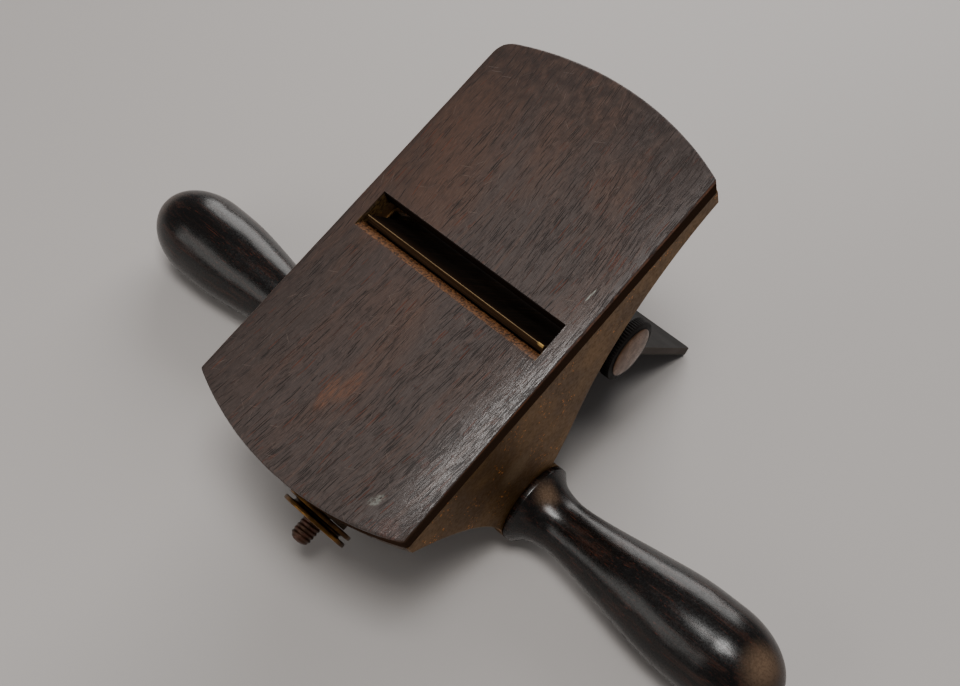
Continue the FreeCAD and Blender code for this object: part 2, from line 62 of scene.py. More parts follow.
# Sole
HALF_WIDTH = 38.1
HALF_LENGTH = 62.3
END_BOW = 8.3
THICK = 6.5
BOW_RADIUS = (HALF_WIDTH ** 2 + END_BOW ** 2) / (2 * END_BOW)
BOW_START = 20.0
MOUTH_HALF = 33.0
MOUTH_BACK = -5.5
MOUTH_WALL = -3.1
MOUTH_FRONT = 6.8
MOUTH_BEVEL_DEPTH = 2.1
WORN_CORNER = 4.0
SHARP_CORNER = 0.8
ARRIS = 0.5
EDGE_STEPS = (0.0, 0.12, 0.27, 0.46, 0.7, 1.0, 1.4, 2.0, 2.8, 3.8)    # the grid's lines in from an edge
FINE_UNTIL = 56.0            # even cells up to here
CELLS_ACROSS = 88
CELLS_BEHIND = 44
CELLS_IN_MOUTH = 10
CELLS_BEFORE = 42
WEAR_FROM_Y = 8.0            # the right-hand side is worn further from here towards -Y
WEAR_RUN = 45.0
WALL_DEPTHS = (0.35, 0.8, 1.3, 1.8, 2.1, 2.6, 3.6, 5.0)
WALL_LEAD = 0.6              # moves the outer wall's levels down, clear of the rounded face
WALL_SWAY = 0.05
PALE_MARK_TURN = 28.0

# Handles
HANDLE_Y = -27.5
HANDLE_Z = -61.5
FLANGE_R = 13.0
BULB_R = 14.5
BULB_X = 105.2
HANDLE_END = 126.2
HANDLE_WAIST = [(HALF_WIDTH + 2.0, FLANGE_R), (43.0, 10.3), (47.0, 8.9), (52.0, 8.4), (61.0, 9.3),
                (75.0, 11.6), (87.0, 13.5), (95.0, 14.3), (BULB_X, BULB_R)]     # (x, radius)
HANDLE_SIDES = 128
FLARE_X = 43.4               # places of painted highlights on top of the right handle
TIP_X = HANDLE_END - 7.5
HIGHLIGHT_Y = HANDLE_Y + 3.5
HIGHLIGHT_Z = HANDLE_Z + 10.5

# Adjuster
ROD_Z = -39.0
ROD_R = 3.175
ROD_END = -80.5
ROD_INNER = -6.0
ROD_TIP_R = 0.5              # the flat on the domed end
ROD_DOME = 2.0
ROD_SIDES = 72
THREAD_PITCH = 1.27
THREAD_DEPTH = 0.3
THREAD_TO = -40.0
THREAD_STEP = 0.115          # between the rings of the thread's mesh
THREAD_FLAT = 0.16           # the shares of half a pitch that one flat and the flank take
THREAD_FLANK = 0.66
THREAD_WEAR = 0.22
POST_FAR = -69.6
POST_NEAR = -64.1
NUT_GAP = 0.2
NUT_R = 11.0
NUT_RIM = 1.4
NUT_GROOVE = 1.1
NUT_HUB_R = 8.2
NUT_BORE_R = 3.4
NUT_SIDES = 120

# Clamp knob: its axis, from the frame
KNOB_LOW, KNOB_HIGH = (Vector(corner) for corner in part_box("clamp_knob"))
KNOB_R = 9.8
KNOB_FACE_R = 8.0
KNOB_FACE_RISE = 1.0
KNOB_CROWN = 0.4
KNOB_HOLE_R = 2.4
KNOB_RIM_EDGE = 0.3
KNOB_TEETH = 64
KNURL_DEPTH = 0.34

# Blade
LEAN = math.radians(26.0)
LEAN_SIN = math.sin(LEAN)
LEAN_COS = math.cos(LEAN)
EDGE_Y = -1.2
EDGE_DEPTH = 0.03
BLADE_WIDTH = 64.0
BLADE_LENGTH = 117.0
BLADE_THICK = 2.6
BLADE_TOP_ROUND = 1.5
BLADE_ARRIS = 0.12


def rgb(red, green, blue):
    """A colour given as 0..255 display values, as the shader's linear numbers."""
    def linear(value):
        value /= 255
        return value / 12.92 if value <= 0.04045 else ((value + 0.055) / 1.055) ** 2.4
    return (linear(red), linear(green), linear(blue), 1.0)


# Colours
WOOD_BROWN = rgb(82, 61, 51)
WOOD_GREY = rgb(72, 61, 57)
WOOD_WARM = rgb(94, 64, 49)
WOOD_LIGHT = rgb(118, 95, 84)
WOOD_DARK = rgb(45, 34, 30)
WOOD_PORE_AND_SHADOW = rgb(27, 20, 17)
WOOD_RED = rgb(92, 46, 30)
WOOD_ORANGE = rgb(132, 78, 46)
WOOD_SIDE = rgb(56, 41, 31)
WOOD_SCRATCH = rgb(148, 128, 116)
WOOD_MARK_AND_GLINT = rgb(160, 166, 156)
MOUTH_LIGHT = rgb(126, 84, 52)
MOUTH_DARK = rgb(48, 32, 22)
MOUTH_END = rgb(112, 86, 50)
BRONZE_LIGHT = rgb(122, 90, 50)
BRONZE_DARK = rgb(96, 69, 37)
BRONZE_STAIN = rgb(70, 51, 30)
INNER_LIGHT = rgb(58, 44, 29)
INNER_DARK = rgb(40, 30, 20)
BRONZE_SPECK = rgb(214, 138, 52)
BRONZE_HAZE = rgb(176, 152, 120)
EBONY_DARK = rgb(12, 9, 8)
EBONY_BROWN = rgb(44, 27, 21)
EBONY_RED = rgb(84, 40, 26)
EBONY_PORE = rgb(8, 7, 7)
EBONY_TIP = rgb(74, 58, 48)
EBONY_HIGHLIGHT = rgb(112, 90, 71)
BLADE_DARK = rgb(15, 12, 10)
BLADE_MIDDLE = rgb(23, 19, 16)
BLADE_BROWN = rgb(44, 32, 24)
BLADE_SIDE = rgb(70, 61, 54)
BEVEL_DARK = rgb(44, 32, 23)
BEVEL_LIGHT = rgb(84, 62, 44)
EDGE_BRIGHT = rgb(176, 148, 108)
BURR_BRASS = rgb(220, 180, 110)
STEEL_DARK = rgb(60, 56, 52)
STEEL_LIGHT = rgb(92, 86, 80)
ROD_BROWN = rgb(66, 46, 33)
ROD_RUST = rgb(76, 40, 23)
NUT_LIGHT = rgb(124, 88, 44)
NUT_DARK = rgb(76, 53, 30)
NUT_GROOVE_SHADE = rgb(34, 24, 16)
KNOB_LIGHT = rgb(112, 84, 64)
KNOB_BROWN = rgb(88, 65, 49)
KNOB_RIM = rgb(20, 16, 14)
FLOOR_PALE = rgb(184, 179, 176)

# Oval stains on the sole: (x, y, half width, half length, turn in degrees, strength, colour)
STAINS = ((-4.5, -46.0, 2.2, 7.0, -6.0, 0.42, WOOD_ORANGE), (-1.0, -41.0, 2.6, 7.0, 6.0, 0.38, WOOD_ORANGE),
          (-31.0, 38.0, 7.0, 20.0, 0.0, 0.40, WOOD_WARM), (-24.0, 20.0, 8.0, 14.0, 0.0, 0.25, WOOD_WARM),
          (33.0, -62.0, 4.0, 3.5, 0.0, 0.5, WOOD_RED), (-35.0, -2.0, 2.5, 30.0, 0.0, 0.30, WOOD_WARM))
# Families of scratches: (turn in degrees, shift of their pattern, share of the cells with one)
SCRATCHES = ((30.0, (3.0, 1.0, 0.0), 0.20), (-58.0, (13.0, 5.0, 0.0), 0.14),
             (64.0, (23.0, 8.0, 0.0), 0.16), (-24.0, (33.0, 2.0, 0.0), 0.18))
HAZE_PLACE = (HALF_WIDTH, -27.0, -31.0)


# ---------------------------------------------------------------- meshes

def piece(name, bm, material, body, nodes, smooth_angle):
    """Turns a bmesh in tool-frame millimetres into a shown piece that stands for its CAD nodes."""
    bmesh.ops.scale(bm, vec=(MM, MM, MM), verts=bm.verts)
    bmesh.ops.recalc_face_normals(bm, faces=bm.faces)
    mesh = bpy.data.meshes.new(name)
    bm.to_mesh(mesh)
    bm.free()
    mesh.polygons.foreach_set("use_smooth", [True] * len(mesh.polygons))
    mesh.set_sharp_from_angle(angle=math.radians(smooth_angle))
    mesh.materials.append(material)
    obj = bpy.data.objects.new(name, mesh)
    bpy.context.scene.collection.objects.link(obj)
    obj.matrix_world = TOOL
    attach(obj, body)
    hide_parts(*nodes)


def skin(bm, rings, close_ends=True):
    """Joins rings of points, each closed round, into one tube."""
    loops = [[bm.verts.new(point) for point in ring] for ring in rings]
    count = len(loops[0])
    for low, high in zip(loops, loops[1:]):
        for index in range(count):
            after = (index + 1) % count
            bm.faces.new((low[index], low[after], high[after], high[index]))
    if close_ends:
        bm.faces.new(loops[0][::-1])
        bm.faces.new(loops[-1])
    return loops


def turned(bm, profile, segments, axis_point, along, radius_at):
    """A turned shape from (distance along the axis, radius) pairs, its radius varied by radius_at."""
    rings = []
    for distance, radius in profile:
        ring = []
        for index in range(segments):
            angle = 2 * math.pi * index / segments
            r = radius_at(distance, radius, angle)
            a = r * math.cos(angle)
            b = r * math.sin(angle)
            if along == "x":
                ring.append((distance, axis_point[0] + a, axis_point[1] + b))
            else:
                ring.append((axis_point[0] + b, distance, axis_point[1] + a))
        rings.append(ring)
    skin(bm, rings)


def curve_through(points, steps):
    """Catmull-Rom curve through 2D points."""
    ends = [points[0]] + points + [points[-1]]
    result = []
    for before, start, stop, after in zip(ends, ends[1:], ends[2:], ends[3:]):
        for step in range(steps):
            t = step / steps
            result.append(tuple(
                0.5 * (2 * q + (r - p) * t + (2 * p - 5 * q + 4 * r - s) * t * t
                       + (3 * q - p - 3 * r + s) * t ** 3)
                for p, q, r, s in zip(before, start, stop, after)))
    return result + [points[-1]]


# ---------------------------------------------------------------- sole

def bow(x):
    """How far a bowed end stands out from the straight sides' end at a place across the sole."""
    return math.sqrt(BOW_RADIUS ** 2 - x * x) - (BOW_RADIUS - END_BOW)


def round_corner(x, y):
    """Pulls the grid's square corners in to rounded ones."""
    radius = WORN_CORNER if x < 0 < y else SHARP_CORNER
    a = (abs(x) - (HALF_WIDTH - radius)) / radius
    b = (abs(y) - (HALF_LENGTH - radius)) / radius
    if a <= 0 or b <= 0:
        return x, y
    new_a = a * math.sqrt(1 - b * b / 2)
    new_b = b * math.sqrt(1 - a * a / 2)
    new_x = math.copysign(HALF_WIDTH - radius + radius * new_a, x)
    new_y = math.copysign(HALF_LENGTH - radius + radius * new_b, y)
    return new_x, new_y


def sole_point(x, y):
    """The grid's flat (x, y) bent to the sole's outline with its bowed ends."""
    x, y = round_corner(x, y)
    reach = max(0.0, (abs(y) - BOW_START) / (HALF_LENGTH - BOW_START))
    return x, math.copysign(abs(y) + reach * bow(x), y)


def falling_edge(distance, radius):
    """The drop of a rounded edge at a distance in from it."""
    if distance >= radius:
        return 0.0
    return radius - math.sqrt(max(0.0, radius ** 2 - (radius - distance) ** 2))


def worn_height(x, y):
    """Height of the sole's face: rounded arrises, and a long worn fall along the right-hand side."""
    right = HALF_WIDTH - x
    edge = min(HALF_WIDTH - abs(x), HALF_LENGTH - abs(y))
    uneven = 0.5 + 0.5 * noise.noise(Vector((x * 0.09, y * 0.09, 3.0)))
    height = -falling_edge(edge, ARRIS + 0.35 * uneven)
    rear = min(1.0, max(0.0, (WEAR_FROM_Y - y) / WEAR_RUN))
    height -= (0.30 + 0.80 * rear) * math.exp(-(right / (2.4 + 3.8 * rear)) ** 1.5)
    corner = math.hypot(HALF_WIDTH - 4 - x, y + HALF_LENGTH + 2)
    height -= 0.45 * math.exp(-(corner / 9.0) ** 2)
    left = HALF_WIDTH + x
    height -= 0.12 * math.exp(-left / 1.6)
    height += 0.035 * noise.noise(Vector((x * 0.05, y * 0.035, 0.0)))
    return height


def mouth_limits(depth):
    """(back, front) of the mouth at a depth below the face: worn away at the back, square at the front."""
    worn = min(depth, MOUTH_BEVEL_DEPTH) / MOUTH_BEVEL_DEPTH
    return MOUTH_BACK + (MOUTH_WALL - MOUTH_BACK) * worn, MOUTH_FRONT


def underside_y(y):
    """Moves the grid's lines so that they meet the mouth's edges at the underside."""
    back, front = mouth_limits(THICK)
    knots = [(-HALF_LENGTH, -HALF_LENGTH), (-BOW_START, -BOW_START), (MOUTH_BACK, back),
             (MOUTH_FRONT, front), (BOW_START + 4, BOW_START + 4), (HALF_LENGTH, HALF_LENGTH)]
    for (low, low_to), (high, high_to) in zip(knots, knots[1:]):
        if y <= high + 1e-9:
            return low_to + (high_to - low_to) * (y - low) / (high - low)
    return y


def ragged(x, depth):
    """How far the worn back edge of the mouth wanders from a straight line."""
    fade = max(0.0, 1.0 - depth / 3.0)
    slow = noise.noise(Vector((x * 0.3, 0.0, 7.0)))
    quick = noise.noise(Vector((x * 1.1, 0.0, 11.0)))
    chip = max(0.0, noise.noise(Vector((x * 0.6, 0.0, 23.0))) - 0.3)
    return fade * (0.14 * slow + 0.06 * quick - 0.5 * chip)


def even_list(low, high, count):
    """From low to high in equal steps, with both ends."""
    return [low + (high - low) * index / count for index in range(count + 1)]


def nearest(values, target):
    """The index of the value that is nearest to a target."""
    return min(range(len(values)), key=lambda index: abs(values[index] - target))


def rectangle(low_i, high_i, low_j, high_j):
    """Grid keys round a rectangle, in order."""
    keys = [(i, low_j) for i in range(low_i, high_i)]
    keys += [(high_i, j) for j in range(low_j, high_j)]
    keys += [(i, high_j) for i in range(high_i, low_i, -1)]
    keys += [(low_i, j) for j in range(high_j, low_j, -1)]
    return keys


def outer_level(high, low, depth):
    """A point of the outer side wall between its upper and lower ends, with a slight sway."""
    share = (depth + WALL_LEAD) / (THICK + WALL_LEAD)
    sway = WALL_SWAY * noise.noise(Vector((high.x * 0.5, high.y * 0.5, depth)))
    flat = Vector((low.x, low.y, 0.0)).normalized() * sway
    return (low.x + flat.x, low.y + flat.y, high.z + (low.z - high.z) * share)


def wall(bm, ring, top, under, level=None):
    """Joins the face and the underside round a ring of grid keys, through levels at set depths."""
    rows = [[top[key] for key in ring]]
    for depth in WALL_DEPTHS:
        row = []
        for key in ring:
            point = level(key, depth) if level else outer_level(top[key].co, under[key].co, depth)
            row.append(bm.verts.new(point))
        rows.append(row)
    rows.append([under[key] for key in ring])
    count = len(ring)
    for high, low in zip(rows, rows[1:]):
        for index in range(count):
            after = (index + 1) % count
            bm.faces.new((high[index], high[after], low[after], low[index]))


def build_sole(material):
    """The wooden sole: a grid bent to its outline, worn on the face, with a ragged mouth through it."""
    side_lines = [-HALF_WIDTH + step for step in EDGE_STEPS]
    end_lines = [-HALF_LENGTH + step for step in EDGE_STEPS]
    xs = side_lines + even_list(-MOUTH_HALF, MOUTH_HALF, CELLS_ACROSS) + [-x for x in reversed(side_lines)]
    ys = end_lines + even_list(-FINE_UNTIL, MOUTH_BACK, CELLS_BEHIND)
    ys += even_list(MOUTH_BACK, MOUTH_FRONT, CELLS_IN_MOUTH)[1:]
    ys += even_list(MOUTH_FRONT, FINE_UNTIL, CELLS_BEFORE)[1:] + [-y for y in reversed(end_lines)]
    bm = bmesh.new()
    top = {}
    under = {}
    for i, x in enumerate(xs):
        for j, y in enumerate(ys):
            px, py = sole_point(x, y)
            if abs(x) <= MOUTH_HALF and abs(y - MOUTH_BACK) < 1e-6:
                py += ragged(x, 0.0)
            top[i, j] = bm.verts.new((px, py, worn_height(x, y)))
            under[i, j] = bm.verts.new((*sole_point(x, underside_y(y)), -THICK))
    for i in range(len(xs) - 1):
        for j in range(len(ys) - 1):
            middle_x = (xs[i] + xs[i + 1]) / 2
            middle_y = (ys[j] + ys[j + 1]) / 2
            if abs(middle_x) < MOUTH_HALF and MOUTH_BACK < middle_y < MOUTH_FRONT:
                continue
            bm.faces.new((top[i, j], top[i + 1, j], top[i + 1, j + 1], top[i, j + 1]))
            bm.faces.new((under[i, j + 1], under[i + 1, j + 1], under[i + 1, j], under[i, j]))
    wall(bm, rectangle(0, len(xs) - 1, 0, len(ys) - 1), top, under)
    ring = rectangle(nearest(xs, -MOUTH_HALF), nearest(xs, MOUTH_HALF),
                     nearest(ys, MOUTH_BACK), nearest(ys, MOUTH_FRONT))

    def mouth_level(key, depth):
        x = xs[key[0]]
        share = (ys[key[1]] - MOUTH_BACK) / (MOUTH_FRONT - MOUTH_BACK)
        back, front = mouth_limits(depth)
        return x, back + ragged(x, depth) * (1 - share) + share * (front - back), -depth

    wall(bm, ring, top, under, mouth_level)
    piece("sole_worn", bm, material, "frame", ["sole_plate"], 50.0)


# ---------------------------------------------------------------- turned and threaded pieces

def build_handle(side, material):
    """A turned handle: a flange at the cheek, a waist and a bulb with a rounded end."""
    rim = [(HALF_WIDTH, 7.0), (HALF_WIDTH, FLANGE_R - 0.5), (HALF_WIDTH + 0.15, FLANGE_R - 0.15),
           (HALF_WIDTH + 0.5, FLANGE_R), (HALF_WIDTH + 1.0, FLANGE_R + 0.05), (HALF_WIDTH + 1.5, FLANGE_R)]
    profile = rim + curve_through(HANDLE_WAIST, 10)
    reach = HANDLE_END - BULB_X
    for step in range(1, 36):
        angle = math.radians(90 - step * 2.5)
        profile.append((BULB_X + reach * math.cos(angle), BULB_R * math.sin(angle)))
    bm = bmesh.new()
    points = [(side * x, r) for x, r in profile]

    def uneven(distance, radius, angle):
        facet = noise.noise(Vector((distance * 0.07, 2 * math.cos(angle), 2 * math.sin(angle) + side)))
        return radius * (1 + 0.004 * facet)

    turned(bm, points, HANDLE_SIDES, (HANDLE_Y, HANDLE_Z), "x", uneven)
    name = "right" if side > 0 else "left"
    piece("handle_turned_" + name, bm, material, "frame", ["handle_" + name], 50.0)


def build_rod(material):
    """The adjusting rod with a right-hand thread that runs out at its domed end."""
    def depth_at(distance, radius, angle):
        turn = (distance / THREAD_PITCH - angle / (2 * math.pi)) % 1.0
        tooth = abs(2 * turn - 1)
        tooth = min(1.0, max(0.0, (tooth - THREAD_FLAT) / THREAD_FLANK))
        run_out = min(1.0, max(0.0, (THREAD_TO - distance) / THREAD_PITCH))
        worn = 1.0 - THREAD_WEAR * (0.5 + 0.5 * noise.noise(Vector((distance * 2.0, angle * 3.0, 5.0))))
        return radius - THREAD_DEPTH * worn * run_out * (1 - tooth) * min(1.0, radius / ROD_R)

    profile = [(ROD_END, ROD_TIP_R)]
    for step in range(1, 13):
        angle = math.radians(step * 7.5)
        profile.append((ROD_END + ROD_DOME * (1 - math.cos(angle)),
                        ROD_TIP_R + (ROD_R - ROD_TIP_R) * math.sin(angle)))
    distance = ROD_END + ROD_DOME + 0.1
    while distance < THREAD_TO + THREAD_PITCH:
        profile.append((distance, ROD_R))
        distance += THREAD_STEP
    profile += [(distance + 1, ROD_R), (-16.0, ROD_R), (ROD_INNER, ROD_R)]
    bm = bmesh.new()
    turned(bm, profile, ROD_SIDES, (0.0, ROD_Z), "y", depth_at)
    piece("rod_threaded", bm, material, "rod", ["adjusting_rod"], 60.0)


def build_nut(name, low, body, material):
    """A thumb nut: two thin worn rims on a hub, with a countersunk bore."""
    width = 2 * NUT_RIM + NUT_GROOVE
    half = NUT_RIM / 2
    profile = [(0.45, NUT_BORE_R), (0.0, NUT_BORE_R + 0.5), (0.0, NUT_R - 0.45), (0.12, NUT_R - 0.15),
               (0.35, NUT_R), (half, NUT_R + 0.02), (NUT_RIM - 0.3, NUT_R - 0.02),
               (NUT_RIM - 0.08, NUT_R - 0.2), (NUT_RIM, NUT_R - 0.5), (NUT_RIM + 0.03, NUT_HUB_R + 0.35),
               (NUT_RIM + 0.18, NUT_HUB_R + 0.08), (NUT_RIM + 0.4, NUT_HUB_R)]
    profile += [(width - along, radius) for along, radius in reversed(profile)]
    rings = []
    for along, radius in profile:
        ring = []
        for index in range(NUT_SIDES):
            angle = 2 * math.pi * index / NUT_SIDES
            wobble = 0.03 * noise.noise(Vector((3 * math.cos(angle), 3 * math.sin(angle), along)))
            r = radius + (wobble if radius > NUT_HUB_R + 1 else 0.0)
            ring.append((r * math.sin(angle), low + along, ROD_Z + r * math.cos(angle)))
        rings.append(ring)
    bm = bmesh.new()
    loops = skin(bm, rings, close_ends=False)
    for index in range(NUT_SIDES):
        after = (index + 1) % NUT_SIDES
        bm.faces.new((loops[-1][index], loops[-1][after], loops[0][after], loops[0][index]))
    piece(name + "_turned", bm, material, body, [name], 32.0)


def build_knob(material):
    """Disc knob: a straight-knurled rim and a smaller raised face with a round bevel."""
    centre = TOOL.inverted() @ ((KNOB_LOW + KNOB_HIGH) / 2) / MM
    low = KNOB_LOW.x / MM
    high = KNOB_HIGH.x / MM
    step = high - KNOB_FACE_RISE
    profile = [(low, KNOB_HOLE_R), (low, KNOB_R - 0.5), (low + 0.1, KNOB_R - 0.22)]
    profile += [(x, KNOB_R) for x in even_list(low + KNOB_RIM_EDGE, step - KNOB_RIM_EDGE, 6)]
    profile += [(step - 0.1, KNOB_R - 0.14), (step, KNOB_R - 0.4), (step, KNOB_FACE_R + 0.15),
                (step + 0.08, KNOB_FACE_R), (high - 0.82, KNOB_FACE_R), (high - 0.62, KNOB_FACE_R - 0.12),
                (high - 0.5, KNOB_FACE_R - 0.32), (high - 0.43, KNOB_FACE_R - 0.6)]
    for radius in (6.5, 5.0, 3.5, 2.0, 0.3):
        profile.append((high - KNOB_CROWN * (radius / KNOB_FACE_R) ** 2, radius))

    def knurl(_, radius, angle):
        if radius < KNOB_R - 0.06:
            return radius
        cut = abs(math.sin(angle * KNOB_TEETH / 2))
        return radius - KNURL_DEPTH * (1 - cut) ** 1.5

    bm = bmesh.new()
    turned(bm, profile, KNOB_TEETH * 8, (centre.y, centre.z), "x", knurl)
    piece("knob_knurled", bm, material, "clamp", ["clamp_knob"], 35.0)


def from_blade(x, s, n):
    """The tool-frame point at a place given in the blade's frame: s up the blade, n out of its front."""
    return (x, EDGE_Y + s * LEAN_SIN + n * LEAN_COS, -EDGE_DEPTH - s * LEAN_COS + n * LEAN_SIN)


def build_blade(material):
    """The blade: a ground bevel at the back, a dulled edge line and softened arrises."""
    half = BLADE_WIDTH / 2
    rings = []
    places = [-half, -half + BLADE_ARRIS] + even_list(-half + 0.5, half - 0.5, 60)
    for x in places + [half - BLADE_ARRIS, half]:
        inset = BLADE_ARRIS if abs(x) == half else 0.0
        round_off = abs(x) - (half - BLADE_TOP_ROUND)
        top = BLADE_LENGTH
        if round_off > 0:
            top -= BLADE_TOP_ROUND - math.sqrt(max(0.0, BLADE_TOP_ROUND ** 2 - round_off ** 2))
        dull = 0.07 + 0.05 * noise.noise(Vector((x * 0.5, 3.0, 9.0)))
        wander = 0.05 * noise.noise(Vector((x * 0.25, 8.0, 2.0)))
        heel = BLADE_THICK + wander
        outline = [(dull, -inset), (dull, -dull - 0.02), (heel - 0.1, -heel + 0.18),
                   (heel + 0.1, -BLADE_THICK), (top - 0.2, -BLADE_THICK + inset),
                   (top, -BLADE_THICK + 0.15 + inset), (top, -0.15 - inset), (top - 0.2, -inset)]
        rings.append([from_blade(x, s + (inset if s < 1 else 0.0), n) for s, n in outline])
    bm = bmesh.new()
    skin(bm, rings)
    piece("blade_ground", bm, material, "blade", ["blade"], 20.0)


# ---------------------------------------------------------------- materials

class Paint:
    """One procedural material. Its positions are tool-frame millimetres."""

    def __init__(self, name, cad=False):
        self.material = bpy.data.materials.new(name)
        self.material.use_nodes = True
        self.tree = self.material.node_tree
        self.shader = self.tree.nodes["Principled BSDF"]
        point = self.new("ShaderNodeTexCoord").outputs["Object"]
        if cad:
            point = self.vector("SUBTRACT", point, tuple(TOOL_ORIGIN))
            turn = self.new("ShaderNodeVectorRotate", rotation_type="X_AXIS")
            turn.inputs["Angle"].default_value = -TILT
            self.join(point, turn.inputs["Vector"])
            point = turn.outputs["Vector"]
        scale = self.new("ShaderNodeVectorMath", operation="SCALE")
        scale.inputs["Scale"].default_value = 1 / MM
        self.join(point, scale.inputs[0])
        self.point = scale.outputs[0]
        split = self.new("ShaderNodeSeparateXYZ")
        self.join(self.point, split.inputs[0])
        self.x, self.y, self.z = split.outputs

    def new(self, kind, **settings):
        node = self.tree.nodes.new(kind)
        for key, value in settings.items():
            setattr(node, key, value)
        return node

    def join(self, source, target):
        if isinstance(source, bpy.types.NodeSocket):
            self.tree.links.new(source, target)
        else:
            target.default_value = source

    def vector(self, operation, a, b):
        node = self.new("ShaderNodeVectorMath", operation=operation)
        self.join(a, node.inputs[0])
        self.join(b, node.inputs[1])
        return node.outputs[0]

    def math(self, operation, a, b=0.0):
        node = self.new("ShaderNodeMath", operation=operation)
        self.join(a, node.inputs[0])
        self.join(b, node.inputs[1])
        return node.outputs[0]

    def add(self, *terms):
        result = terms[0]
        for term in terms[1:]:
            result = self.math("ADD", result, term)
        return result

    def most(self, *values):
        result = values[0]
        for value in values[1:]:
            result = self.math("MAXIMUM", result, value)
        return result

    def product(self, *factors):
        result = factors[0]
        for factor in factors[1:]:
            result = self.math("MULTIPLY", result, factor)
        return result

    def stretched(self, x, y, z, turn=0.0, shift=(0, 0, 0), point=None):
        """The position scaled per axis, turned first about z by an angle in degrees."""
        node = self.new("ShaderNodeMapping")
        if point is None:
            point = self.point
        if turn:
            spin = self.new("ShaderNodeVectorRotate", rotation_type="Z_AXIS")
            spin.inputs["Angle"].default_value = math.radians(turn)
            self.join(point, spin.inputs["Vector"])
            point = spin.outputs["Vector"]
        self.join(point, node.inputs["Vector"])
        node.inputs["Scale"].default_value = (x, y, z)
        node.inputs["Location"].default_value = shift
        return node.outputs["Vector"]

    def noise(self, vector, detail, roughness=0.55, distortion=0.0):
        node = self.new("ShaderNodeTexNoise")
        node.inputs["Scale"].default_value = 1.0
        node.inputs["Detail"].default_value = detail
        node.inputs["Roughness"].default_value = roughness
        node.inputs["Distortion"].default_value = distortion
        self.join(vector, node.inputs["Vector"])
        return node.outputs["Fac"]

    def spread(self, value, low, high, to_low=0.0, to_high=1.0):
        """Maps low..high to to_low..to_high, held at both ends."""
        node = self.new("ShaderNodeMapRange", interpolation_type="SMOOTHSTEP")
        self.join(value, node.inputs["Value"])
        for key, number in (("From Min", low), ("From Max", high), ("To Min", to_low), ("To Max", to_high)):
            node.inputs[key].default_value = number
        return node.outputs["Result"]

    def mix(self, share, a, b):
        node = self.new("ShaderNodeMix", data_type="RGBA")
        self.join(share, node.inputs["Factor"])
        self.join(a, node.inputs[6])
        self.join(b, node.inputs[7])
        return node.outputs[2]

    def spot(self, x, y, radius_x, radius_y, turn):
        """1 in an oval patch on the sole's face, 0 outside it."""
        moved = self.vector("SUBTRACT", self.point, (x, y, 0.0))
        spin = self.new("ShaderNodeVectorRotate", rotation_type="Z_AXIS")
        spin.inputs["Angle"].default_value = math.radians(turn)
        self.join(moved, spin.inputs["Vector"])
        scaled = self.vector("MULTIPLY", spin.outputs["Vector"], (1 / radius_x, 1 / radius_y, 0.0))
        length = self.new("ShaderNodeVectorMath", operation="LENGTH")
        self.join(scaled, length.inputs[0])
        return self.spread(length.outputs["Value"], 1.0, 0.55)

    def bump(self, height, strength, distance, under=None):
        node = self.new("ShaderNodeBump")
        node.inputs["Strength"].default_value = strength
        node.inputs["Distance"].default_value = distance * MM
        self.join(height, node.inputs["Height"])
        if under is not None:
            self.join(under, node.inputs["Normal"])
        return node.outputs["Normal"]

    def finish(self, color, roughness, normal, **fixed):
        """Joins the three main inputs and sets fixed values for others."""
        self.join(color, self.shader.inputs["Base Color"])
        self.join(roughness, self.shader.inputs["Roughness"])
        self.join(normal, self.shader.inputs["Normal"])
        for key, value in fixed.items():
            self.shader.inputs[key.replace("_", " ")].default_value = value
        return self.material

    def dashes(self, point, across, along, radius, share, turn=0.0, shift=(0, 0, 0)):
        """Long thin marks scattered in one direction, with a random number for each mark."""
        cells = self.new("ShaderNodeTexVoronoi", voronoi_dimensions="2D", feature="F1")
        cells.inputs["Scale"].default_value = 1.0
        self.join(self.stretched(across, along, 1.0, turn, shift, point), cells.inputs["Vector"])
        near = self.spread(cells.outputs["Distance"], radius, 0.7 * radius)
        split = self.new("ShaderNodeSeparateColor")
        self.join(cells.outputs["Color"], split.inputs["Color"])
        chosen = self.math("LESS_THAN", split.outputs[0], share)
        return self.math("MULTIPLY", near, chosen), split.outputs[1]

    def far_from(self, place):
        """The distance from a place, in millimetres."""
        node = self.new("ShaderNodeVectorMath", operation="DISTANCE")
        self.join(self.point, node.inputs[0])
        node.inputs[1].default_value = place
        return node.outputs["Value"]

    def combined(self, x, y, z):
        node = self.new("ShaderNodeCombineXYZ")
        for socket, value in zip(node.inputs, (x, y, z)):
            self.join(value, socket)
        return node.outputs[0]

    def dot(self, direction, offset):
        """How far the point lies along a direction, plus an offset in millimetres."""
        node = self.new("ShaderNodeVectorMath", operation="DOT_PRODUCT")
        self.join(self.point, node.inputs[0])
        node.inputs[1].default_value = direction
        return self.math("ADD", node.outputs["Value"], offset)


